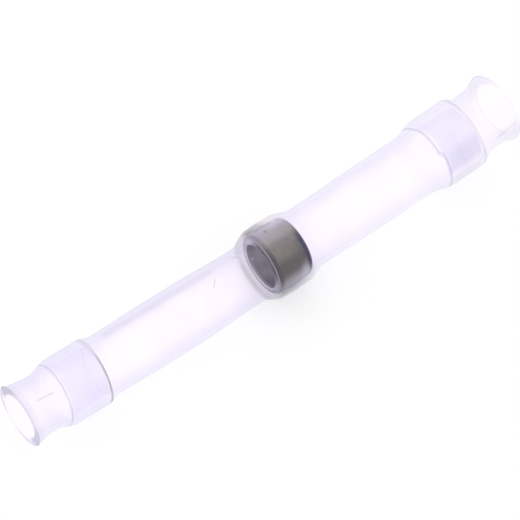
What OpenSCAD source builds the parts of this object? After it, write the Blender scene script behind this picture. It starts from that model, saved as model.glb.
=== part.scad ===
// Heat-shrink solder sleeve for joining two wires end to end, lying on its side along X.
// One clear sleeve is shrunk onto a solder ring near its middle and a sealing ring near each end.
// The surface that it lies on is Z = 0, and X = 0 is half way between the two cut ends.

/* [Sleeve] */
// Length between the two cut ends
sleeve_len = 26; // [22:0.5:34]
// Wall of the tube and over the rings
wall = 0.25; // [0.18:0.01:0.32]
// Outside diameter of the left half at its widest
left_tube_od = 2.84; // [2.76:0.02:3.2]
// Outside diameter of the left half where it leaves the sealing ring
left_root_od = 2.78; // [2.7:0.01:3]
// Outside diameter of the waist on the left of the solder ring
left_waist_od = 2.64; // [2.6:0.01:2.8]
// Outside diameter of the waist on the right of the solder ring
right_waist_od = 2.82; // [2.6:0.01:3]
// Outside diameter of the right half at its widest
right_tube_od = 2.88; // [2.76:0.01:3.2]

/* [Sleeve ends] */
// Outside diameter of the cuff between the left sealing ring and the left end
left_cuff_od = 2.66; // [2.6:0.01:2.9]
// Outside diameter of the left cut end
left_lip_od = 2.98; // [2.7:0.01:3.1]
// Wall at the left cut end, where the free edge shrank most
left_lip_wall = 0.42; // [0.3:0.01:0.42]
// Length of the left end's flare
left_lip_len = 0.9; // [0.3:0.05:0.9]
// Outside diameter of the cuff between the right sealing ring and the right end
right_cuff_od = 2.84; // [2.6:0.01:3]
// Outside diameter of the right cut end
right_lip_od = 3.28; // [3:0.01:3.3]
// Wall at the right cut end
right_lip_wall = 0.54; // [0.3:0.01:0.56]
// Length of the right end's flare
right_lip_len = 0.8; // [0.6:0.05:1.2]

/* [Solder ring] */
// Outside diameter of the solder ring
solder_od = 2.9; // [2.7:0.01:3.1]
// Bore of the solder ring
solder_bore = 2.04; // [1.7:0.01:2.05]
// Width of the solder ring
solder_w = 1.85; // [1.2:0.05:2.4]
// Distance from the sleeve's middle to the solder ring's middle
solder_shift = 0.8; // [-1:0.05:1.5]
// Radius of the solder ring's outer edges
solder_edge_r = 0.22; // [0.1:0.01:0.3]

/* [Sealing rings] */
// Outside diameter of the left sealing ring
left_seal_od = 2.6; // [2.5:0.01:2.9]
// Outside diameter of the right sealing ring
right_seal_od = 2.88; // [2.6:0.01:3]
// Bore of both sealing rings
seal_bore = 2; // [1.7:0.01:2.05]
// Width of both sealing rings
seal_w = 1.95; // [1.5:0.05:2.6]
// Distance from the left cut end to the left ring's middle
left_seal_inset = 3.1; // [2.6:0.05:4]
// Distance from the right cut end to the right ring's middle
right_seal_inset = 2.7; // [2.7:0.05:4]
// Radius of the sealing rings' outer edges
seal_edge_r = 0.22; // [0.1:0.01:0.3]

/* [Fit] */
// Gap between a ring and the sleeve shrunk onto it
grip_gap = 0; // [0:0.005:0.02]
// Run of the sleeve from a sealing ring down to the tube or the cuff
seal_shoulder = 0.7; // [0.6:0.05:1]
// Run of the sleeve from the solder ring down to its waists
solder_shoulder = 0.95; // [0.7:0.05:1.4]
// Radius of the edges of every ring's bore
bore_edge_r = 0.08; // [0.02:0.01:0.12]

/* [Hidden] */
$fn = 96;
bend_steps = 8;
edge_steps = 5;

left_end_x = -sleeve_len / 2;
right_end_x = sleeve_len / 2;
left_seal_x = left_end_x + left_seal_inset;
right_seal_x = right_end_x - right_seal_inset;
left_seat_r = left_seal_od / 2 + grip_gap + wall;
right_seat_r = right_seal_od / 2 + grip_gap + wall;
solder_seat_r = solder_od / 2 + grip_gap + wall;
axis_z = max(solder_seat_r, left_seat_r, right_seat_r, left_lip_od / 2, right_lip_od / 2);

// Places where the sleeve runs level, from left to right, as [x, outer radius, wall].
// Over a ring the level stretch stops short of the ring's rounded edges.
left_seat = [
    [left_seal_x - seal_w / 2 + seal_edge_r, left_seat_r, wall],
    [left_seal_x + seal_w / 2 - seal_edge_r, left_seat_r, wall]
];
solder_seat = [
    [solder_shift - solder_w / 2 + solder_edge_r, solder_seat_r, wall],
    [solder_shift + solder_w / 2 - solder_edge_r, solder_seat_r, wall]
];
right_seat = [
    [right_seal_x - seal_w / 2 + seal_edge_r, right_seat_r, wall],
    [right_seal_x + seal_w / 2 - seal_edge_r, right_seat_r, wall]
];
left_half = [left_seat[1][0] + seal_shoulder, solder_seat[0][0] - solder_shoulder];
right_half = [solder_seat[1][0] + solder_shoulder, right_seat[0][0] - seal_shoulder];
stations = concat(
    [
        [left_end_x, left_lip_od / 2, left_lip_wall],
        [left_end_x + left_lip_len, left_cuff_od / 2, wall],
        [left_seat[0][0] - seal_shoulder, left_cuff_od / 2, wall]
    ],
    left_seat,
    [
        [left_half[0], left_root_od / 2, wall],
        [(2 * left_half[0] + left_half[1]) / 3, left_tube_od / 2, wall],
        [left_half[1], left_waist_od / 2, wall]
    ],
    solder_seat,
    [
        [right_half[0], right_waist_od / 2, wall],
        [(right_half[0] + 2 * right_half[1]) / 3, right_tube_od / 2, wall],
        [right_half[1], right_tube_od / 2, wall]
    ],
    right_seat,
    [
        [right_seat[1][0] + seal_shoulder, right_cuff_od / 2, wall],
        [right_end_x - right_lip_len, right_cuff_od / 2, wall],
        [right_end_x, right_lip_od / 2, right_lip_wall]
    ]
);

// Half a cosine wave from 0 to 1, level at both ends
function ease(u) = (1 - cos(180 * u)) / 2;

// The run from station a to station b without b itself: a straight line where nothing
// changes, or an even number of steps along the wave
function run(a, b) =
    let (steps = a[1] == b[1] && a[2] == b[2] ? 1 : bend_steps)
    [for (i = [0:steps - 1]) a + [i / steps * (b[0] - a[0]), ease(i / steps) * (b[1] - a[1]),
        ease(i / steps) * (b[2] - a[2])]];

sleeve_line = concat(
    [for (i = [0:len(stations) - 2]) each run(stations[i], stations[i + 1])],
    [stations[len(stations) - 1]]
);

// A quarter turn from angle a to angle b about a centre, for a rounded edge
function edge(centre, r, a, b) =
    [for (i = [0:edge_steps]) let (t = a + (b - a) * i / edge_steps)
        centre + r * [cos(t), sin(t)]];

// Turns a profile of [x, radius] points about the sleeve's axis
module turned(profile)
    translate([0, 0, axis_z])
        rotate([0, 90, 0])
            rotate_extrude()
                polygon([for (p = profile) [p[1], p[0]]]);

// A ring with rounded outer edges and eased bore edges
module ring(x, w, od, bore, edge_r) {
    outer = od / 2 - edge_r;
    inner = bore / 2 + bore_edge_r;
    turned(concat(
        edge([x - w / 2 + edge_r, outer], edge_r, 180, 90),
        edge([x + w / 2 - edge_r, outer], edge_r, 90, 0),
        edge([x + w / 2 - bore_edge_r, inner], bore_edge_r, 0, -90),
        edge([x - w / 2 + bore_edge_r, inner], bore_edge_r, -90, -180)
    ));
}

module sleeve()
    color("lavender", 0.4)
        turned(concat(
            [for (s = sleeve_line) [s[0], s[1]]],
            [for (i = [len(sleeve_line) - 1:-1:0]) [sleeve_line[i][0], sleeve_line[i][1] - sleeve_line[i][2]]]
        ));

module solder_ring()
    color("dimgray")
        ring(solder_shift, solder_w, solder_od, solder_bore, solder_edge_r);

module left_sealing_ring()
    color("ghostwhite")
        ring(left_seal_x, seal_w, left_seal_od, seal_bore, seal_edge_r);

module right_sealing_ring()
    color("ghostwhite")
        ring(right_seal_x, seal_w, right_seal_od, seal_bore, seal_edge_r);

sleeve();
solder_ring();
left_sealing_ring();
right_sealing_ring();
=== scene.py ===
import math
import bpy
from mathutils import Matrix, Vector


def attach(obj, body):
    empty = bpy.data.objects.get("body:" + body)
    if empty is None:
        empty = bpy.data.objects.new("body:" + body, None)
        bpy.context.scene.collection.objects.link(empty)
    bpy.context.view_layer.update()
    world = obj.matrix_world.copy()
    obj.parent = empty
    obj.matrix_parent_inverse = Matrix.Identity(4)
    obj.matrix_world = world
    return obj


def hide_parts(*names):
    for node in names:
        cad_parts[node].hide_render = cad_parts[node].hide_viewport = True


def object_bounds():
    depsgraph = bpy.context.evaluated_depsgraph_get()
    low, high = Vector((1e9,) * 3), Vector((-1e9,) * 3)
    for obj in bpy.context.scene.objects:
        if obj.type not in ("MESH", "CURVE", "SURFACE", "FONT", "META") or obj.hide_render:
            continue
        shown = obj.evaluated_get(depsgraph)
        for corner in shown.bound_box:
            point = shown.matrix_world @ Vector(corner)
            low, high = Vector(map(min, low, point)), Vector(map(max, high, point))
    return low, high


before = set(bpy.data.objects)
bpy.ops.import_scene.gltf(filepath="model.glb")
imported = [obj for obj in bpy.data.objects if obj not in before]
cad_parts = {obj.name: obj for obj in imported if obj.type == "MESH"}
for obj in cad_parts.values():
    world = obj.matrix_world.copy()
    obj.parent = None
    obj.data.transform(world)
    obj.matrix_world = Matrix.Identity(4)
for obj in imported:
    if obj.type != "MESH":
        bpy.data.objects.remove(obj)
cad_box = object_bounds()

from types import SimpleNamespace

import bpy
import numpy as np
from mathutils import Vector

MM = 0.001
WHITE = (1.0, 1.0, 1.0)

# Camera: its direction in degrees, its distance, the width that it sees there, and where it aims
VIEW_AZIMUTH = -37.4
VIEW_ELEVATION = 57.6
VIEW_DISTANCE = 350 * MM
VIEW_WIDTH = 22.55 * MM
AIM_RIGHT = -0.06 * MM
AIM_UP = 0.17 * MM
CLIP_NEAR, CLIP_FAR = 0.01, 10

# The whole sleeve: its ends, the height of its axis, and how far that axis bows to one side and lifts
# at the flare. The left cut end leans, and this clearance keeps it inside the solid's box.
LEAN_CLEARANCE = 0.09 * MM
LEFT_END, RIGHT_END = cad_box[0][0] + LEAN_CLEARANCE, cad_box[1][0]
AXIS_Z = (cad_box[0][2] + cad_box[1][2]) / 2
BOW_MIDDLE, BOW_ENDS = -0.09 * MM, 0.15 * MM
END_LIFT = 0.14 * MM

# Rings: the left and the right face of each one, their bores, and the radii of their edges
LEFT_SEAL = (-10.92 * MM, -8.94 * MM)
SOLDER = (-0.14 * MM, 1.78 * MM)
RIGHT_SEAL = (9.3 * MM, 11.24 * MM)
SEAL_BORE_R = 1.06 * MM
SOLDER_BORE_R = 1.07 * MM
EDGE_R = 0.22 * MM
BORE_EDGE_R = 0.08 * MM
# How deep a ring's outside is pressed into the film
GRIP_DEPTH = 0.004 * MM

# The film's wall, and its outer radius at its level spots from left to right
WALL = 0.25 * MM
LEFT_LIP_R, LEFT_LIP_WALL = 1.49 * MM, 0.42 * MM
LEFT_RIM_R, LEFT_RIM_WALL = 1.43 * MM, 0.38 * MM
LEFT_CUFF_R = 1.31 * MM
LEFT_SEAT_R = 1.55 * MM
LEFT_ROOT_R = 1.39 * MM
LEFT_TUBE_R = 1.42 * MM
LEFT_WAIST_R = 1.32 * MM
SOLDER_EDGE_SEAT_R, SOLDER_CROWN_R = 1.675 * MM, 1.7 * MM
RIGHT_WAIST_R = 1.41 * MM
RIGHT_TUBE_R = 1.445 * MM
RIGHT_SEAT_R = 1.69 * MM
RIGHT_CUFF_R = 1.425 * MM
RIGHT_LIP_R, RIGHT_LIP_WALL = 1.64 * MM, 0.45 * MM

# Where those spots lie along the sleeve, unless a ring says so: a run is counted from the spot before,
# and an inset from the end of the level stretch over the solder ring
LEFT_RIM_RUN = 0.14 * MM
LEFT_CUFF_X = -11.75 * MM
LEFT_ROOT_RUN = 0.62 * MM
LEFT_TUBE_START_X, LEFT_TUBE_END_X = -6.2 * MM, -4.4 * MM
LEFT_WAIST_X = -0.88 * MM
SOLDER_LEFT_INSET, SOLDER_RIGHT_INSET = 0.1 * MM, 0.2 * MM
SOLDER_CROWN_X = 0.65 * MM
RIGHT_WAIST_X = 2.35 * MM
RIGHT_TUBE_START_X, RIGHT_TUBE_END_X = 6.0 * MM, 8.3 * MM
RIGHT_CUFF_START_X, RIGHT_CUFF_END_X = 11.66 * MM, 12.2 * MM

# Faces that stand out of square: at each place along the sleeve, the lean toward the side and toward
# the front, as a share of the radius
LEAN_X = np.array([-13.0, -10.9, -8.9, 0.8, 9.3, 11.2, 13.0]) * MM
LEAN_ASIDE = (0.015, 0.095, 0.075, 0.02, -0.02, -0.03, -0.025)
LEAN_FRONT = (-0.02, 0.07, 0.0, 0.01, 0.04, 0.0, 0.1)
ASIDE_ANGLE, FRONT_ANGLE = math.radians(27), math.radians(117)

# Skins of a piece: its bore or inner wall, its cut or face edges, and its outside
INSIDE, CUT, OUTSIDE = 0.0, 0.5, 1.0

# Grid points: round the sleeve, across a cut end, on a rounded edge, on a ring's outside and in its bore
TURN_STEPS = 136
CUT_STEPS = 7
EDGE_STEPS = 8
RING_STEPS = 24
BORE_STEPS = 14

# How far a cut end falls back at its edges, and with which power of the distance from its middle
CUT_ROUND, CUT_POWER = 0.03 * MM, 6


def ease(u):
    """Half a cosine wave from 0 to 1, level at both ends."""
    return (1 - np.cos(np.pi * u)) / 2


def settle(u):
    """From 0 to 1 along a parabola, steep at first and level at the end."""
    return 1 - (1 - u) ** 2


def flare(u):
    """From 0 to 1 along a parabola, level at first and steep at the end."""
    return u ** 2


def middle_line(x):
    """Where the sleeve's axis lies at x: to one side along a parabola, BOW_MIDDLE half way and BOW_ENDS
    at both cut ends, and raised along half a cosine wave from the right sealing ring to the flare."""
    side = BOW_MIDDLE + (BOW_ENDS - BOW_MIDDLE) * (x / RIGHT_END) ** 2
    rise = END_LIFT * ease(np.clip((x - RIGHT_SEAL[1]) / (RIGHT_END - RIGHT_SEAL[1]), 0, 1))
    return side, AXIS_Z + rise


def sleeve_stations():
    """The film's level spots from left to right as rows of x, outer radius, wall, number of steps to
    the next and the wave that leads there. Over a ring the level stretch stops short of the ring's
    rounded edges."""
    left, solder, right = ((a + EDGE_R, b - EDGE_R) for a, b in (LEFT_SEAL, SOLDER, RIGHT_SEAL))
    return [
        (LEFT_END, LEFT_LIP_R, LEFT_LIP_WALL, 6, settle),
        (LEFT_END + LEFT_RIM_RUN, LEFT_RIM_R, LEFT_RIM_WALL, 24, settle),
        (LEFT_CUFF_X, LEFT_CUFF_R, WALL, 24, ease),
        (left[0], LEFT_SEAT_R, WALL, 12, ease),
        (left[1], LEFT_SEAT_R, WALL, 20, ease),
        (left[1] + LEFT_ROOT_RUN, LEFT_ROOT_R, WALL, 24, ease),
        (LEFT_TUBE_START_X, LEFT_TUBE_R, WALL, 12, ease),
        (LEFT_TUBE_END_X, LEFT_TUBE_R, WALL, 24, ease),
        (LEFT_WAIST_X, LEFT_WAIST_R, WALL, 24, ease),
        (solder[0] + SOLDER_LEFT_INSET, SOLDER_EDGE_SEAT_R, WALL, 12, ease),
        (SOLDER_CROWN_X, SOLDER_CROWN_R, WALL, 12, ease),
        (solder[1] - SOLDER_RIGHT_INSET, SOLDER_EDGE_SEAT_R, WALL, 24, ease),
        (RIGHT_WAIST_X, RIGHT_WAIST_R, WALL, 28, ease),
        (RIGHT_TUBE_START_X, RIGHT_TUBE_R, WALL, 14, ease),
        (RIGHT_TUBE_END_X, RIGHT_TUBE_R, WALL, 24, ease),
        (right[0], RIGHT_SEAT_R, WALL, 12, ease),
        (right[1], RIGHT_SEAT_R, WALL, 20, ease),
        (RIGHT_CUFF_START_X, RIGHT_CUFF_R, WALL, 6, ease),
        (RIGHT_CUFF_END_X, RIGHT_CUFF_R, WALL, 24, flare),
        (RIGHT_END, RIGHT_LIP_R, RIGHT_LIP_WALL, 0, ease),
    ]


def film_line():
    """Rows of x, outer radius and wall all along the film. Between two stations x runs evenly, and
    radius and wall follow the first station's wave."""
    stations = sleeve_stations()
    runs = []
    for (x, r, wall, steps, wave), (next_x, next_r, next_wall, *_) in zip(stations, stations[1:]):
        u = np.arange(steps) / steps
        w = wave(u)
        columns = [x + u * (next_x - x), r + w * (next_r - r), wall + w * (next_wall - wall)]
        runs.append(np.stack(columns, axis=1))
    return np.concatenate(runs + [np.array([stations[-1][:3]])])


FILM = film_line()


def inside_of_film(x):
    """The radius of the film's inner wall at x."""
    return np.interp(x, FILM[:, 0], FILM[:, 1] - FILM[:, 2])


def with_skin(points, skin):
    """Adds the skin number as a third column."""
    return np.column_stack([points, np.full(len(points), skin)])


def cut_face(station, side):
    """Points across a cut end, between the outer and the inner line: the face is flat in its middle and
    falls back by CUT_ROUND at both edges. Its skin runs from outside to inside."""
    u = np.arange(1, CUT_STEPS) / CUT_STEPS
    if side < 0:
        u = u[::-1]
    x = station[0] - side * CUT_ROUND * np.abs(2 * u - 1) ** CUT_POWER
    return np.stack([x, station[1] - u * station[2], OUTSIDE - u * (OUTSIDE - INSIDE)], axis=1)


def sleeve_profile():
    """The film's closed section: the outer line from left to right, the right cut face, the inner line
    back and the left cut face."""
    inner = np.stack([FILM[:, 0], FILM[:, 1] - FILM[:, 2]], axis=1)[::-1]
    return np.concatenate([
        with_skin(FILM[:, :2], OUTSIDE),
        cut_face(FILM[-1], 1),
        with_skin(inner, INSIDE),
        cut_face(FILM[0], -1),
    ])


def quarter(cx, cr, r, a, b):
    """Points on an arc of radius r about (cx, cr) from angle a to angle b, in degrees."""
    t = np.radians(np.linspace(a, b, EDGE_STEPS))
    return np.stack([cx + r * np.cos(t), cr + r * np.sin(t)], axis=1)


def ring_profile(place, bore_r):
    """A ring's closed section: its outside follows the film's inner wall, GRIP_DEPTH into it, as far as
    its rounded outer edges, and its bore has eased edges. place is its left and its right face."""
    left, right = place
    a, b = left + EDGE_R, right - EDGE_R
    x = np.linspace(a, b, RING_STEPS)
    outside = np.stack([x, inside_of_film(x) + GRIP_DEPTH], axis=1)
    bore_x = np.linspace(right - BORE_EDGE_R, left + BORE_EDGE_R, BORE_STEPS)[1:-1]
    return np.concatenate([
        with_skin(quarter(a, outside[0, 1] - EDGE_R, EDGE_R, 180, 90), OUTSIDE),
        with_skin(outside[1:-1], OUTSIDE),
        with_skin(quarter(b, outside[-1, 1] - EDGE_R, EDGE_R, 90, 0), OUTSIDE),
        with_skin(quarter(right - BORE_EDGE_R, bore_r + BORE_EDGE_R, BORE_EDGE_R, 0, -90), CUT),
        with_skin(np.stack([bore_x, np.full(len(bore_x), bore_r)], axis=1), INSIDE),
        with_skin(quarter(left + BORE_EDGE_R, bore_r + BORE_EDGE_R, BORE_EDGE_R, -90, -180), CUT),
    ])


def closed_grid_faces(rows):
    """The four-sided faces of a grid of rows by TURN_STEPS points that closes on itself both ways."""
    row = np.arange(rows)[:, None]
    col = np.arange(TURN_STEPS)[None, :]
    next_row, next_col = (row + 1) % rows, (col + 1) % TURN_STEPS
    return np.stack([
        row * TURN_STEPS + col,
        row * TURN_STEPS + next_col,
        next_row * TURN_STEPS + next_col,
        next_row * TURN_STEPS + col,
    ], axis=2).reshape(-1, 4)


def put_in_scene(name, data):
    """A new object of that name, at the origin."""
    made = bpy.data.objects.new(name, data)
    bpy.context.collection.objects.link(made)
    return made


def carried_round(profile, name):
    """A closed profile of (x, radius, skin) rows carried once round the sleeve's bowed axis. Point
    (i, j) of the grid is profile row i turned to angle j, and moved along the axis by the lean of the
    faces there. Every point keeps where it is for the materials: along, across and radius in
    millimetres, front from 1 on the near side to -1 on the far one, and its skin."""
    angle = np.arange(TURN_STEPS) * 2 * np.pi / TURN_STEPS
    x, r, skin = profile[:, :1], profile[:, 1:2], profile[:, 2:]
    side, height = middle_line(x)
    aside, front = np.cos(angle - ASIDE_ANGLE), np.cos(angle - FRONT_ANGLE)
    lean = np.interp(x, LEAN_X, LEAN_ASIDE) * aside + np.interp(x, LEAN_X, LEAN_FRONT) * front
    points = np.stack([x + lean * r, side + r * np.cos(angle), height + r * np.sin(angle)], axis=2)
    mesh = bpy.data.meshes.new(name)
    mesh.from_pydata(points.reshape(-1, 3).tolist(), [], closed_grid_faces(len(profile)).tolist())
    mesh.shade_smooth()
    level = np.ones_like(angle)
    places = {
        "along": x / MM * level,
        "across": -r / MM * aside,
        "front": front + 0 * x,
        "skin": skin * level,
        "radius": r / MM * level,
    }
    for place, value in places.items():
        kept = mesh.attributes.new(place, "FLOAT", "POINT")
        kept.data.foreach_set("value", value.ravel().astype(np.float32))
    return put_in_scene(name, mesh)


class Nodes:
    """Makes shader nodes in one tree and links them. A share is a socket that runs from 0 to 1, and a
    colour is a socket or three numbers."""

    def __init__(self, tree):
        self.tree = tree

    def add(self, kind, links=None, **values):
        """A node of that kind. A value is set on the node itself or on its input of that name."""
        node = self.tree.nodes.new(kind)
        for name, value in values.items():
            if hasattr(node, name):
                setattr(node, name, value)
            else:
                node.inputs[name.replace("_", " ")].default_value = value
        for name, source in (links or {}).items():
            self.tree.links.new(source, node.inputs[name])
        return node

    def places(self, *names):
        """Some of the places that every point of a piece keeps, as carried_round gives them, each under
        its own name."""
        nodes = {name: self.add("ShaderNodeAttribute", attribute_name=name) for name in names}
        return SimpleNamespace(**{name: node.outputs["Fac"] for name, node in nodes.items()})

    def math(self, operation, *terms):
        """The result of one sum: each term is a socket or a number."""
        node = self.add("ShaderNodeMath", operation=operation)
        for i, term in enumerate(terms):
            if isinstance(term, (int, float)):
                node.inputs[i].default_value = term
            else:
                self.tree.links.new(term, node.inputs[i])
        return node.outputs[0]

    def times(self, product, *terms):
        """All terms multiplied: the share where every one of them holds."""
        for term in terms:
            product = self.math("MULTIPLY", product, term)
        return product

    def fade(self, source, start, end, low=0.0, high=1.0):
        """From low to high, smoothly, while source goes from start to end."""
        node = self.add("ShaderNodeMapRange", interpolation_type="SMOOTHSTEP", links={"Value": source},
                        From_Min=start, From_Max=end, To_Min=low, To_Max=high)
        return node.outputs[0]

    def stripe(self, source, centre, half, soft):
        """1 where source is within half of centre, fading to 0 over soft."""
        away = self.math("ABSOLUTE", self.math("SUBTRACT", source, centre))
        return self.fade(away, half, half + soft, 1.0, 0.0)

    def blend(self, share, under, over):
        """The colour under with the colour over laid on it by share."""
        node = self.add("ShaderNodeMix", data_type="RGBA", links={0: share})
        sockets = [socket for socket in node.inputs if socket.type == "RGBA"]
        for socket, colour in zip(sockets, (under, over)):
            if isinstance(colour, tuple):
                socket.default_value = (*colour, 1)
            else:
                self.tree.links.new(colour, socket)
        return next(socket for socket in node.outputs if socket.type == "RGBA")

    def clouds(self, scale):
        """Soft cloudy spots from 0 to 1, scale of them to the millimetre."""
        where = self.add("ShaderNodeTexCoord").outputs["Object"]
        noise = self.add("ShaderNodeTexNoise", links={"Vector": where}, Scale=scale / MM, Detail=2.0)
        return self.fade(noise.outputs[0], 0.35, 0.65)

    def mark(self, at, start, end, half, soft):
        """A mark drawn from start to end, each one along and across, half wide on both sides."""
        node = self.add("ShaderNodeGroup", links={"Along": at.along, "Across": at.across},
                        node_tree=mark_group(), Half=half, Soft=soft)
        node.inputs["Start"].default_value = (*start, 0)
        node.inputs["End"].default_value = (*end, 0)
        return node.outputs["Share"]


def mark_group():
    """A shared node group: 1 within Half of the straight line from Start to End, fading to 0 over
    Soft."""
    name = "surface_mark"
    if name in bpy.data.node_groups:
        return bpy.data.node_groups[name]
    tree = bpy.data.node_groups.new(name, "ShaderNodeTree")
    for socket in ("Along", "Across", "Half", "Soft"):
        tree.interface.new_socket(socket, in_out="INPUT", socket_type="NodeSocketFloat")
    for socket in ("Start", "End"):
        tree.interface.new_socket(socket, in_out="INPUT", socket_type="NodeSocketVector")
    tree.interface.new_socket("Share", in_out="OUTPUT", socket_type="NodeSocketFloat")
    n = Nodes(tree)

    def vector(operation, first, second):
        return n.add("ShaderNodeVectorMath", operation=operation, links={0: first, 1: second}).outputs

    given = n.add("NodeGroupInput").outputs
    point = n.add("ShaderNodeCombineXYZ", links={"X": given["Along"], "Y": given["Across"]}).outputs[0]
    from_start = vector("SUBTRACT", point, given["Start"])[0]
    whole = vector("SUBTRACT", given["End"], given["Start"])[0]
    reach = vector("DOT_PRODUCT", from_start, whole)["Value"]
    square = vector("DOT_PRODUCT", whole, whole)["Value"]
    ratio = n.add("ShaderNodeMath", operation="DIVIDE", use_clamp=True, links={0: reach, 1: square})
    foot = n.add("ShaderNodeVectorMath", operation="SCALE", links={0: whole, "Scale": ratio.outputs[0]})
    away = vector("DISTANCE", from_start, foot.outputs[0])["Value"]
    edge = n.math("ADD", given["Half"], given["Soft"])
    span = {"Value": away, "From Min": given["Half"], "From Max": edge}
    share = n.add("ShaderNodeMapRange", interpolation_type="SMOOTHSTEP", links=span, To_Min=1.0, To_Max=0.0)
    n.add("NodeGroupOutput", links={"Share": share.outputs[0]})
    return tree


def new_material(name):
    """An empty material, and what makes its nodes."""
    material = bpy.data.materials.new(name)
    material.use_nodes = True
    material.node_tree.nodes.clear()
    return material, Nodes(material.node_tree)


# Clear film and melt: how much they bend light, their tint where a lamp shines through, and their coat
CLEAR_IOR = 1.003
CLEAR_LAMP_TINT = (0.997, 0.996, 0.999)
COAT_ROUGHNESS = 0.3


def clear_body(n, colour, clearness, roughness, coat, absorb, density):
    """A clear melt or film, tinted with depth. Its clearness is the share of light that goes through,
    and the rest is milky. Lamps shine through it with hardly a shadow."""
    body = n.add("ShaderNodeBsdfPrincipled", links={"Base Color": colour}, Roughness=roughness,
                 IOR=CLEAR_IOR, Transmission_Weight=clearness, Coat_Weight=coat,
                 Coat_Roughness=COAT_ROUGHNESS)
    clear = n.add("ShaderNodeBsdfTransparent", Color=(*CLEAR_LAMP_TINT, 1))
    lamp_ray = n.add("ShaderNodeLightPath").outputs["Is Shadow Ray"]
    mix = n.add("ShaderNodeMixShader", links={0: lamp_ray, 1: body.outputs[0], 2: clear.outputs[0]})
    depth = n.add("ShaderNodeVolumeAbsorption", Color=(*absorb, 1), Density=density)
    n.add("ShaderNodeOutputMaterial", links={"Surface": mix.outputs[0], "Volume": depth.outputs[0]})


# The film's tints: clear and clouded, and lilac at its upper and lower edge of sight, partly its tint along
# a longer path and partly painted shade, darker at the upper edge as painted shade
FILM_CLEAR, FILM_CLOUD = (1.0, 0.965, 1.0), (0.965, 0.94, 0.985)
UPPER_LIMB, LOWER_LIMB = (0.848, 0.835, 0.95), (0.885, 0.875, 0.96)
FILM_DEPTH_TINT, FILM_DEPTH_DENSITY = (0.275, 0.09, 0.756), 12

# Painted shade on the right band's lower half: middle and half length along, and tint
RIGHT_BAND, RIGHT_BAND_PAINTED_SHADE = (10.2, 0.7), (0.82, 0.82, 0.86)

# Painted shade along the film's creases over the sealing rings' edges: place along, half width, softness
# and tint
LEFT_FAINT_CREASE_SHADE = (-11.15, 0.01, 0.06, (0.6, 0.58, 0.65))
LEFT_DARK_CREASE_SHADE = (-9.1, 0.015, 0.08, (0.28, 0.27, 0.31))
LEFT_CREASE_SHADE_HALO = (-9.13, 0.06, 0.1, (0.66, 0.65, 0.7))
RIGHT_INNER_CREASE_SHADE = (9.17, 0.015, 0.07, (0.6, 0.58, 0.63))
RIGHT_OUTER_CREASE_SHADE = (11.1, 0.03, 0.1, (0.66, 0.645, 0.69))

# The film's run over the solder ring, its left shoulder and the curved line there: middle and half
# length along
RING_RUN = (0.72, 0.82)
SHOULDER_RUN = (-0.16, 0.14)
SHOULDER_CURVE = (-0.27, 0.04)
# Painted stand-in for the solder ring seen bent through the film's edge of sight: greys above and below,
# each at the ring's left and right, and outermost
UPPER_LEFT_GREY, UPPER_RIGHT_GREY = (0.4, 0.385, 0.415), (0.84, 0.82, 0.85)
LOWER_LEFT_GREY, LOWER_RIGHT_GREY = (0.5, 0.49, 0.53), (0.68, 0.67, 0.71)
OUTERMOST_GREY = (0.9, 0.89, 0.92)
# Painted shade on the film's far wall at its left shoulder, and along the curved line there
SHOULDER_PAINTED_SHADE, CURVE_PAINTED_SHADE = (0.62, 0.605, 0.66), (0.4, 0.385, 0.44)

# The cut ends, in painted shade: the near face, the rim beside it, the dark corners above and below, and
# the far rim
LEFT_CUT_SHADE, LEFT_RIM = (0.6, 0.585, 0.68), (0.77, 0.76, 0.85)
LEFT_CORNER_SHADE, LEFT_FAR_RIM_SHADE = (0.44, 0.43, 0.54), (0.66, 0.65, 0.75)
RIGHT_CORNER_SHADE = (0.86, 0.84, 0.92)
RIGHT_UPPER_RIM_SHADE, RIGHT_FAR_RIM_SHADE = (0.68, 0.67, 0.72), (0.78, 0.76, 0.84)

# Grey marks of the film, partly scuffs and partly painted shade of a fold, of wrinkles and of a long streak
# along its upper side: start and end, each one along and across, half width, softness and strength
SCUFF_AND_SHADE_MARKS = (
    ((-12.33, -0.19), (-11.55, -0.12), 0.01, 0.045, 0.8),
    ((-2.91, -0.33), (-2.61, -0.61), 0.01, 0.03, 0.8),
    ((-8.1, -1.08), (-2.6, -1.0), 0.04, 0.17, 0.45),
    ((9.0, 0.18), (9.12, 0.42), 0.02, 0.06, 0.6),
    ((11.9, 1.07), (12.85, 1.03), 0.01, 0.03, 0.8),
    ((-1.35, -1.05), (-1.1, -0.85), 0.012, 0.03, 0.8),
    ((-1.05, -1.12), (-0.85, -0.98), 0.01, 0.025, 0.6),
)
SCUFF_AND_SHADE_GREY = (0.6, 0.6, 0.62)


def film_tint(n, at, outside, facing):
    """Clear film with faint clouds. Where its outside is seen edge on it is lilac, partly its tint along a
    longer path and partly painted shade, darker at its upper edge as painted shade and paler in its right
    half."""
    lower = n.fade(at.across, -0.3, 0.3)
    right_half = n.fade(at.along, 1.0, 3.0, 0.0, 0.25)
    edge_on = n.fade(facing, 0.04, 0.4)
    limb = n.blend(right_half, n.blend(lower, UPPER_LIMB, LOWER_LIMB), WHITE)
    colour = n.blend(n.clouds(0.5), FILM_CLEAR, FILM_CLOUD)
    return n.blend(n.times(outside, edge_on), colour, limb)


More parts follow.
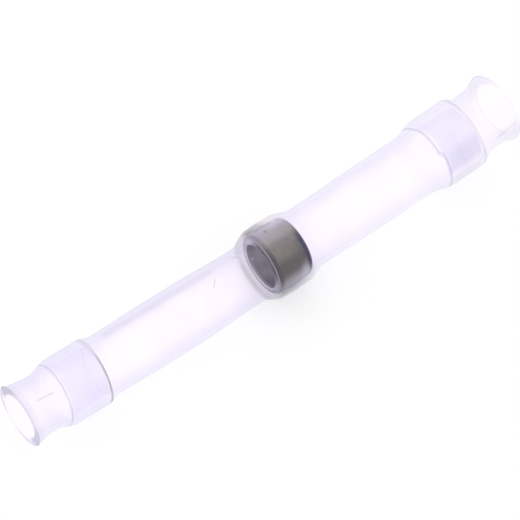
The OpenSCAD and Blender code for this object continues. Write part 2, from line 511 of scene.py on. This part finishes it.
def film_crease_shade(n, at, colour, near):
    """Painted shade: the right band's lower half greyer, and thin grey lines along the film's creases over
    the sealing rings' edges. The right ring's inner line steps left above its middle and bends further left
    at its upper end."""
    # Painted shade on the right band's lower half
    lower_band_shade = n.times(n.stripe(at.along, *RIGHT_BAND, 0.35), n.fade(at.across, 0.1, 0.6), near)
    colour = n.blend(lower_band_shade, colour, RIGHT_BAND_PAINTED_SHADE)
    upper_bend = n.fade(at.across, -0.9, -1.7, 0.0, 0.2)
    kink = n.fade(at.across, 0.3, 0.12, 0.0, 0.13)
    bent = n.math("ADD", n.math("ADD", at.along, upper_bend), kink)
    for line, (place, half, soft, shade) in (
        (at.along, LEFT_FAINT_CREASE_SHADE),
        (at.along, LEFT_DARK_CREASE_SHADE),
        (bent, RIGHT_INNER_CREASE_SHADE),
        (at.along, RIGHT_OUTER_CREASE_SHADE),
    ):
        colour = n.blend(n.times(near, n.stripe(line, place, half, soft)), colour, shade)
    # Painted shade as a halo beside the left dark crease
    *halo_place, halo_shade = LEFT_CREASE_SHADE_HALO
    halo = n.times(n.stripe(at.along, *halo_place), n.fade(at.across, -0.2, -1.0), near)
    return n.blend(halo, colour, halo_shade)


def film_over_solder(n, at, colour, outside, far, facing):
    """The solder ring's grey painted into the film's edge of sight, where the film would show the ring bent
    outward, and painted shade on its left shoulder with a curved line."""
    # Painted stand-in for the ring's image bent through the film
    over_ring = n.times(n.stripe(at.along, *RING_RUN, 0.14), outside)
    glancing = n.times(over_ring, n.fade(facing, 0.4, 0.52))
    upper = n.blend(n.fade(at.along, 0.45, 1.05), UPPER_LEFT_GREY, UPPER_RIGHT_GREY)
    lower = n.blend(n.fade(at.along, 0.3, 1.4), LOWER_LEFT_GREY, LOWER_RIGHT_GREY)
    grey = n.blend(n.fade(at.across, -0.5, 0.5), upper, lower)
    outermost = n.times(n.fade(facing, 0.5, 0.9), n.fade(at.across, -1.0, 0.5, 0.45, 1.0))
    colour = n.blend(glancing, colour, n.blend(outermost, grey, OUTERMOST_GREY))
    # Painted shade on the left shoulder and its curved line
    shoulder = n.times(far, n.stripe(at.along, *SHOULDER_RUN, 0.32))
    colour = n.blend(shoulder, colour, SHOULDER_PAINTED_SHADE)
    lower_fade = n.fade(at.across, 1.25, 0.4, 0.3, 1.0)
    upper_fade = n.fade(at.across, -1.0, -0.2, 0.2, 1.0)
    curve = n.times(n.stripe(at.along, *SHOULDER_CURVE, 0.16), lower_fade, upper_fade, far)
    return n.blend(curve, colour, CURVE_PAINTED_SHADE)


def film_left_end(n, at, colour, near, cut, corner):
    """The left cut end in painted shade: grey lilac on its near side and on the rim beside it, darkest at
    its two corners, its far rim seen at both ends."""
    left_end = n.times(cut, n.fade(at.along, -11.9, -12.1))
    colour = n.blend(n.times(left_end, n.fade(at.front, -0.4, 0.1)), colour, LEFT_CUT_SHADE)
    colour = n.blend(n.times(near, n.fade(at.along, -12.45, -12.85)), colour, LEFT_RIM)
    colour = n.blend(n.times(left_end, corner, n.fade(at.front, -0.55, -0.15)), colour, LEFT_CORNER_SHADE)
    both_ends = n.math("MAXIMUM", n.fade(at.across, -0.3, -0.65), n.fade(at.across, 0.2, 0.6))
    far_rim = n.times(n.fade(at.skin, 0.45, 0.7), left_end, n.fade(at.front, -0.1, -0.3))
    return n.blend(n.times(far_rim, both_ends), colour, LEFT_FAR_RIM_SHADE)


def film_right_end(n, at, colour, cut, corner):
    """The right cut end: almost white, with painted shade as greyer corners, a grey line on its upper rim
    and a pale far rim."""
    right_end = n.times(cut, n.fade(at.along, 11.9, 12.1))
    colour = n.blend(n.times(right_end, corner), colour, RIGHT_CORNER_SHADE)
    upper_rim = n.times(right_end, n.fade(at.skin, 0.84, 0.9), n.fade(at.across, -0.5, -1.0))
    colour = n.blend(upper_rim, colour, RIGHT_UPPER_RIM_SHADE)
    far_rim = n.times(right_end, n.fade(at.skin, 0.2, 0.12), n.fade(at.front, -0.1, -0.4))
    return n.blend(far_rim, colour, RIGHT_FAR_RIM_SHADE)


def film_material():
    """Clear shrunk film: lilac where it is seen edge on, partly its tint and partly painted shade; painted
    shade along its creases over the sealing rings' edges and at its cut ends; the solder ring under it
    painted into its edge of sight as the film would bend it, with painted shade on the shoulder beside it;
    and grey marks, partly scuffs and partly painted shade, as a fold mark, a long faint streak and a few
    scuffs. A mark is drawn either where the outside faces the camera or where it faces away, so that none
    shows a second time through the film."""
    material, n = new_material("clear_shrink_film")
    at = n.places("along", "across", "front", "skin")
    outside = n.fade(at.skin, 0.94, 0.99)
    far_wall = n.add("ShaderNodeNewGeometry").outputs["Backfacing"]
    near = n.times(outside, n.math("SUBTRACT", 1.0, far_wall))
    far = n.times(outside, far_wall)
    facing = n.add("ShaderNodeLayerWeight", Blend=0.5).outputs["Facing"]
    cut = n.times(n.fade(at.skin, 0.02, 0.06), n.fade(at.skin, 0.98, 0.94))
    # The upper and lower corners, where the cut ends get painted shade
    corner = n.fade(n.math("ABSOLUTE", at.across), 0.7, 1.2)
    colour = film_tint(n, at, outside, facing)
    colour = film_crease_shade(n, at, colour, near)
    colour = film_over_solder(n, at, colour, outside, far, facing)
    colour = film_left_end(n, at, colour, near, cut, corner)
    colour = film_right_end(n, at, colour, cut, corner)
    for start, end, half, soft, strength in SCUFF_AND_SHADE_MARKS:
        # Scuffs, and painted shade of a fold, wrinkles and a long streak
        scuff = n.mark(at, start, end, half, soft)
        colour = n.blend(n.times(scuff, near, strength), colour, SCUFF_AND_SHADE_GREY)
    clear_body(n, colour, clearness=0.96, roughness=0.12, coat=0.12, absorb=FILM_DEPTH_TINT,
               density=FILM_DEPTH_DENSITY)
    return material


# Hot melt: its two cloud tints, and its tint with depth
MELT_TINT, MELT_CLOUD = (0.65, 0.665, 0.79), (0.735, 0.745, 0.86)
MELT_DEPTH_TINT, MELT_DEPTH_DENSITY = (0.9, 0.88, 0.98), 60
# The share of its tint that the far side lacks
MELT_FAR_LACK = 0.8


def melt_material():
    """Milky lilac hot melt, a little cloudy. All of its tint is in its outer skin, where the film is
    shrunk on."""
    material, n = new_material("sealing_melt")
    at = n.places("skin")
    facing = n.add("ShaderNodeLayerWeight", Blend=0.5).outputs["Facing"]
    far_side = n.add("ShaderNodeNewGeometry").outputs["Backfacing"]
    outside = n.times(n.fade(at.skin, 0.8, 0.98), n.fade(facing, 0.72, 0.2))
    outside = n.times(outside, n.math("SUBTRACT", 1.0, n.times(far_side, MELT_FAR_LACK)))
    colour = n.blend(outside, WHITE, n.blend(n.clouds(0.5), MELT_TINT, MELT_CLOUD))
    clear_body(n, colour, clearness=0.97, roughness=0.2, coat=0.0, absorb=MELT_DEPTH_TINT,
               density=MELT_DEPTH_DENSITY)
    return material


# The solder's outside: olive grey and its clouds; its darker lower half as painted shade, and lilac toward
# the top, partly oxide and partly painted reflection; and painted sheen at its edges of sight above and
# below
SOLDER_OLIVE, SOLDER_CLOUD = (0.175, 0.164, 0.155), (0.225, 0.207, 0.186)
SOLDER_LOWER = (0.12, 0.113, 0.11)
SOLDER_UPPER = (0.475, 0.45, 0.475)
SOLDER_UPPER_SHEEN, SOLDER_LOWER_SHEEN = (0.62, 0.59, 0.62), (0.63, 0.62, 0.66)
# Painted shade beside its right edge, and a painted reflection as the pale edge on the far side of its left
# face
SOLDER_RIGHT_SHADE, SOLDER_RIGHT_SHADE_STRIP = (0.085, 0.08, 0.095), (0.055, 0.05, 0.1)
SOLDER_FAR_EDGE_REFLECTION = (0.52, 0.505, 0.56)
# Painted highlight: the whitish patch at the upper right and the mark in it
UPPER_HIGHLIGHT_PATCH = (0.8, 0.78, 0.82)
UPPER_HIGHLIGHT_MARK, UPPER_HIGHLIGHT_MARK_ENDS = (0.75, 0.73, 0.77), ((1.5, -1.46), (1.27, -1.37))
# Specks: start and end, each one along and across, and tint
SPECKS = (
    ((0.59, -1.17), (0.61, -1.15), (0.2, 0.155, 0.165)),
    ((1.02, -0.45), (1.05, -0.43), (0.15, 0.12, 0.125)),
    ((0.42, -0.55), (0.5, -0.53), (0.15, 0.145, 0.13)),
)
SPECK_STRENGTH = 0.6
# Painted shade as a dark line on the rounded edge beside the left face: its middle and half width along,
# and its tint
PAINTED_EDGE_LINE, PAINTED_EDGE_LINE_SHADE = (0.06, 0.03), (0.1, 0.093, 0.112)
# The left face: pale on its far half as painted reflection, from the bore outward and at its upper end, and
# dark on the near as painted shade
FACE_REFLECTION_INNER, FACE_REFLECTION_OUTER = (0.42, 0.405, 0.46), (0.47, 0.455, 0.51)
FACE_REFLECTION_UPPER = (0.6, 0.58, 0.64)
FACE_SHADE, FACE_SHADE_LOWER = (0.06, 0.056, 0.07), (0.15, 0.144, 0.172)
# How fast the dark half gives way to the pale one toward the face's upper and lower end, per millimetre
NEAR_HALF_LOSS = 0.65
# The lip round the bore, pale on its far side as painted reflection and dark on its near as painted shade,
# and the thin pale line round the left face as a painted highlight: its radius, half width and tint
LIP_FAR_REFLECTION, LIP_NEAR_SHADE = (0.55, 0.535, 0.6), (0.05, 0.047, 0.06)
FACE_HIGHLIGHT_LINE, FACE_HIGHLIGHT_LINE_TINT = (1.37, 0.004), (0.4, 0.385, 0.44)
# The bore: its upper left lighter as painted light and the rest darker as painted shade, its mouth's two
# ends lighter as painted light, its clouds, and a small drop, bright as a painted glint
BORE_UPPER_LIGHT, BORE_SHADE = (0.48, 0.46, 0.54), (0.225, 0.21, 0.265)
BORE_MOUTH_LIGHT = (0.75, 0.73, 0.82)
BORE_CLOUD, BORE_CLOUD_STRENGTH = (0.55, 0.53, 0.62), 0.3
DROP_GLINT, DROP_ENDS = (0.9, 0.88, 0.95), ((0.085, -0.475), (0.11, -0.465))
# The metal's tint where it is seen edge on
SOLDER_EDGE_TINT = (0.8, 0.79, 0.83)


def solder_outside(n, at):
    """Olive grey with clouds and a few specks. Over that, painted light and shade: darker below its middle,
    lilac toward both edges of sight as painted sheen over some lilac oxide at the top, nearly black beside
    its right edge, a painted highlight at the upper right, a dark line of painted shade beside its left
    face and a pale far edge there as painted reflection."""
    colour = n.blend(n.clouds(1.3), SOLDER_OLIVE, SOLDER_CLOUD)
    # Painted shade below the middle, and lilac toward the top, partly oxide and partly painted reflection
    colour = n.blend(n.fade(at.across, 0.0, 0.55), colour, SOLDER_LOWER)
    colour = n.blend(n.fade(at.across, -0.3, -1.35), colour, SOLDER_UPPER)
    # Painted highlight: the whitish patch at the upper right
    patch = n.times(n.fade(at.along, 0.5, 1.1), n.fade(at.across, -1.0, -1.5))
    colour = n.blend(patch, colour, UPPER_HIGHLIGHT_PATCH)

    # Painted sheen along the lower edge of sight, and painted shade beside the right edge
    widening = n.math("ADD", at.across, n.fade(at.along, 0.9, 1.5, 0.0, 0.25))
    lower_sheen = n.times(n.fade(widening, 0.85, 1.58), n.fade(at.along, -0.3, 1.4, 0.75, 1.0))
    colour = n.blend(lower_sheen, colour, SOLDER_LOWER_SHEEN)
    middle = n.stripe(at.across, 0.4, 0.4, 0.75)
    colour = n.blend(n.times(n.fade(at.along, 1.15, 1.55, 0.0, 0.6), middle), colour, SOLDER_RIGHT_SHADE)
    colour = n.blend(n.times(n.fade(at.along, 1.44, 1.56), middle), colour, SOLDER_RIGHT_SHADE_STRIP)
    # Painted sheen along the upper edge of sight
    colour = n.blend(n.fade(at.across, -1.15, -1.45), colour, SOLDER_UPPER_SHEEN)

    # Painted highlight: the mark in that patch
    colour = n.blend(n.mark(at, *UPPER_HIGHLIGHT_MARK_ENDS, 0.02, 0.12), colour, UPPER_HIGHLIGHT_MARK)
    for start, end, shade in SPECKS:
        speck = n.mark(at, start, end, 0.015, 0.05)
        colour = n.blend(n.times(speck, SPECK_STRENGTH), colour, shade)
    upper_fade = n.fade(at.across, -0.9, 0.1, 0.3, 1.0)
    lower_fade = n.fade(at.across, 1.35, 0.8, 0.25, 1.0)
    near_side = n.fade(at.front, -0.2, 0.3)
    # Painted shade: a dark line on the rounded edge beside the left face
    edge_line_shade = n.times(n.stripe(at.along, *PAINTED_EDGE_LINE, 0.12), upper_fade, lower_fade, near_side)
    colour = n.blend(edge_line_shade, colour, PAINTED_EDGE_LINE_SHADE)
    # Painted reflection: the pale far edge of the left face
    far_edge_reflection = n.times(n.fade(at.along, 0.35, 0.05), n.fade(at.front, 0.0, -0.4))
    return n.blend(far_edge_reflection, colour, SOLDER_FAR_EDGE_REFLECTION)


def solder_left_face(n, at, colour):
    """Painted reflection makes the face's far half pale and painted shade its near half dark, the same on
    the lip round the bore, and a painted highlight makes a thin pale line near the rim."""
    # Painted reflection on the far half, painted shade on the near half
    pale = n.blend(n.fade(at.radius, 1.12, 1.3), FACE_REFLECTION_INNER, FACE_REFLECTION_OUTER)
    pale = n.blend(n.fade(at.across, -0.4, -0.9), pale, FACE_REFLECTION_UPPER)
    dark = n.blend(n.fade(at.across, 0.45, 1.0), FACE_SHADE, FACE_SHADE_LOWER)
    toward_ends = n.times(n.math("ABSOLUTE", at.across), NEAR_HALF_LOSS)
    near_half = n.math("SUBTRACT", at.front, toward_ends)
    face = n.blend(n.fade(near_half, -0.5, 0.4), pale, dark)
    colour = n.blend(n.fade(at.along, 0.0, -0.1), colour, face)
    # Painted reflection and painted shade on the lip round the bore
    lip = n.times(n.fade(at.radius, 1.18, 1.15), n.fade(at.along, 0.0, -0.03))
    colour = n.blend(lip, colour, n.blend(n.fade(near_half, -0.3, 0.0), LIP_FAR_REFLECTION, LIP_NEAR_SHADE))
    # Painted highlight: the thin pale line near the rim
    line = n.times(n.stripe(at.radius, *FACE_HIGHLIGHT_LINE, 0.016), n.fade(at.along, 0.1, 0.05))
    return n.blend(line, colour, FACE_HIGHLIGHT_LINE_TINT)


def solder_bore(n, at, colour):
    """A grey lilac bore with faint clouds, lighter at its upper left and at both ends of its mouth as
    painted light, darker elsewhere as painted shade, with a small drop on its far wall, bright as a painted
    glint."""
    # Painted light at the upper left and at the mouth's ends, painted shade elsewhere
    bore = n.blend(n.fade(at.across, -0.75, 0.15), BORE_UPPER_LIGHT, BORE_SHADE)
    both_ends = n.math("MAXIMUM", n.fade(at.across, -0.1, -0.8, 0.35, 1.0), n.fade(at.across, 0.6, 1.0))
    bore = n.blend(n.times(n.fade(at.along, 0.08, -0.08), both_ends), bore, BORE_MOUTH_LIGHT)
    # A small drop, bright as a painted glint
    drop = n.times(n.mark(at, *DROP_ENDS, 0.025, 0.045), n.fade(at.front, 0.0, -0.3))
    bore = n.blend(drop, bore, DROP_GLINT)
    bore = n.blend(n.times(n.clouds(1.5), BORE_CLOUD_STRENGTH), bore, BORE_CLOUD)
    return n.blend(n.fade(at.skin, 0.3, 0.1), colour, bore)


def solder_material():
    """Tin alloy under dried flux: its outside, its left face and its bore each have their own marks, most
    of them painted light and shade.
    """
    material, n = new_material("solder_metal")
    at = n.places("along", "across", "front", "skin", "radius")
    colour = solder_outside(n, at)
    colour = solder_left_face(n, at, colour)
    colour = solder_bore(n, at, colour)
    body = n.add("ShaderNodeBsdfPrincipled", links={"Base Color": colour}, Metallic=1.0, Roughness=0.4,
                 Specular_Tint=(*SOLDER_EDGE_TINT, 1))
    n.add("ShaderNodeOutputMaterial", links={"Surface": body.outputs[0]})
    return material


def build_sleeve():
    """The clear film, in place of the solid sleeve."""
    piece = carried_round(sleeve_profile(), "shrunk_sleeve")
    piece.data.materials.append(film_material())
    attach(piece, "root")
    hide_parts("sleeve")


def build_seals():
    """Both sealing rings, of one melt, in place of the solid rings."""
    melt = melt_material()
    for node, place in (("left_sealing_ring", LEFT_SEAL), ("right_sealing_ring", RIGHT_SEAL)):
        piece = carried_round(ring_profile(place, SEAL_BORE_R), node + "_melt")
        piece.data.materials.append(melt)
        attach(piece, "root")
        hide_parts(node)


def build_solder():
    """The solder ring, in place of the solid one."""
    piece = carried_round(ring_profile(SOLDER, SOLDER_BORE_R), "solder_ring_metal")
    piece.data.materials.append(solder_material())
    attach(piece, "root")
    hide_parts("solder_ring")


# The floor: half its width in metres, its grey, and what is added to it where it is seen
FLOOR_HALF = 0.5
FLOOR_TONE = 0.4
FLOOR_LIFT = 0.62


def build_floor():
    """A plain matt floor, lifted to white where it is seen, also in the metal's shine and through the
    film. The object's shadow stays on it."""
    h = FLOOR_HALF
    mesh = bpy.data.meshes.new("floor")
    mesh.from_pydata([(-h, -h, 0), (h, -h, 0), (h, h, 0), (-h, h, 0)], [], [(0, 1, 2, 3)])
    floor = put_in_scene("floor", mesh)
    material, n = new_material("pale_floor")
    path = n.add("ShaderNodeLightPath").outputs
    seen = n.math("MAXIMUM", path["Is Camera Ray"], path["Is Glossy Ray"])
    seen = n.math("MAXIMUM", seen, path["Is Transmission Ray"])
    matt = n.add("ShaderNodeBsdfDiffuse", Color=(FLOOR_TONE, FLOOR_TONE, FLOOR_TONE, 1))
    glow = n.add("ShaderNodeEmission", links={"Strength": n.times(seen, FLOOR_LIFT)}, Color=(*WHITE, 1))
    both = n.add("ShaderNodeAddShader", links={0: matt.outputs[0], 1: glow.outputs[0]})
    n.add("ShaderNodeOutputMaterial", links={"Surface": both.outputs[0]})
    mesh.materials.append(material)


# The light tent: its dim side as a direction, the cosines toward it between which it darkens, and its
# two tones
DIM_SIDE = (-0.598, -0.782, 0.174)
DIM_START, DIM_END = 0.2, 0.95
BRIGHT_TONE = (1.0, 0.985, 1.0)
DIM_TONE = (0.8, 0.79, 0.82)

# The softbox above: its place and width in metres, and its power in watts
SOFTBOX_PLACE = (0.05, 0.12, 0.32)
SOFTBOX_WIDTH = 0.3
SOFTBOX_POWER = 0.08

# Light goes through many walls of film and melt before it reaches the camera
LIGHT_BOUNCES = 24


def build_world():
    """A bright tent that is open on one side: the light falls off smoothly toward DIM_SIDE of the sky.
    The camera sees it as white."""
    world = bpy.data.worlds.new("studio")
    bpy.context.scene.world = world
    world.use_nodes = True
    world.node_tree.nodes.clear()
    n = Nodes(world.node_tree)
    sky = n.add("ShaderNodeTexCoord").outputs["Generated"]
    toward_dim = n.add("ShaderNodeVectorMath", operation="DOT_PRODUCT", links={0: sky})
    toward_dim.inputs[1].default_value = DIM_SIDE
    tent = n.blend(n.fade(toward_dim.outputs["Value"], DIM_START, DIM_END), BRIGHT_TONE, DIM_TONE)
    room = n.add("ShaderNodeBackground", links={"Color": tent}, Strength=1.0)
    white = n.add("ShaderNodeBackground", Color=(*WHITE, 1), Strength=1.0)
    seen = n.add("ShaderNodeLightPath").outputs["Is Camera Ray"]
    mix = n.add("ShaderNodeMixShader", links={0: seen, 1: room.outputs[0], 2: white.outputs[0]})
    n.add("ShaderNodeOutputWorld", links={"Surface": mix.outputs[0]})


def build_softbox():
    """A square soft light above the sleeve that faces the origin."""
    light = bpy.data.lights.new("softbox_above", "AREA")
    light.shape = "SQUARE"
    light.size = SOFTBOX_WIDTH
    light.energy = SOFTBOX_POWER
    lamp = put_in_scene("softbox_above", light)
    lamp.location = SOFTBOX_PLACE
    lamp.rotation_mode = "QUATERNION"
    lamp.rotation_quaternion = (-Vector(SOFTBOX_PLACE)).to_track_quat("-Z", "Y")


def build_camera():
    """Looks at the sleeve's middle from VIEW_AZIMUTH and VIEW_ELEVATION, with the aim moved right and
    up."""
    azimuth, elevation = math.radians(VIEW_AZIMUTH), math.radians(VIEW_ELEVATION)
    back = Vector((math.sin(azimuth) * math.cos(elevation), -math.cos(azimuth) * math.cos(elevation),
                   math.sin(elevation)))
    right = Vector((math.cos(azimuth), math.sin(azimuth), 0))
    up = back.cross(right)
    aim = Vector((0, 0, AXIS_Z)) + right * AIM_RIGHT + up * AIM_UP
    data = bpy.data.cameras.new("camera")
    data.lens = data.sensor_width * VIEW_DISTANCE / VIEW_WIDTH
    data.clip_start, data.clip_end = CLIP_NEAR, CLIP_FAR
    camera = put_in_scene("camera", data)
    camera.location = aim + back * VIEW_DISTANCE
    camera.rotation_mode = "QUATERNION"
    camera.rotation_quaternion = (-back).to_track_quat("-Z", "Y")
    bpy.context.scene.camera = camera


build_sleeve()
build_seals()
build_solder()
build_floor()
build_world()
build_softbox()
build_camera()
bpy.context.scene.view_settings.view_transform = "Standard"
bpy.context.scene.cycles.max_bounces = LIGHT_BOUNCES
bpy.context.scene.cycles.transmission_bounces = LIGHT_BOUNCES
